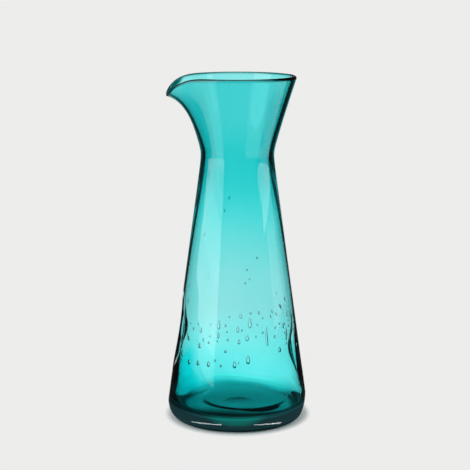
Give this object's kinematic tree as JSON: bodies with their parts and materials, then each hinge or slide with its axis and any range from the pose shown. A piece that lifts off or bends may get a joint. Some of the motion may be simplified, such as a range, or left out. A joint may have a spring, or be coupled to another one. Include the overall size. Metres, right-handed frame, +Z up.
{
  "type": "water carafe",
  "caption": "Hand-blown seeded glass water carafe: tapered body with two pressed grips, drawn-in waist, flared mouth with a pulled pouring spout, thick glass base.",
  "frame": {"origin": "middle of the foot, on the surface that the carafe stands on", "axes": "+Z up along the carafe's axis, -X towards the pouring spout, +Y square to the plane that the spout and both grips lie on; the picture looks nearly along +Y"},
  "size_m": [0.1146, 0.1146, 0.28],
  "materials": {
    "glass_base": "clear teal glass, thick, fire polished",
    "glass_wall": "clear teal glass with seed bubbles, fire polished"
  },
  "bodies": {
    "root": {"base": "glass_base", "body": "glass_wall", "neck": "glass_wall", "mouth": "glass_wall"}
  },
  "joints": []
}
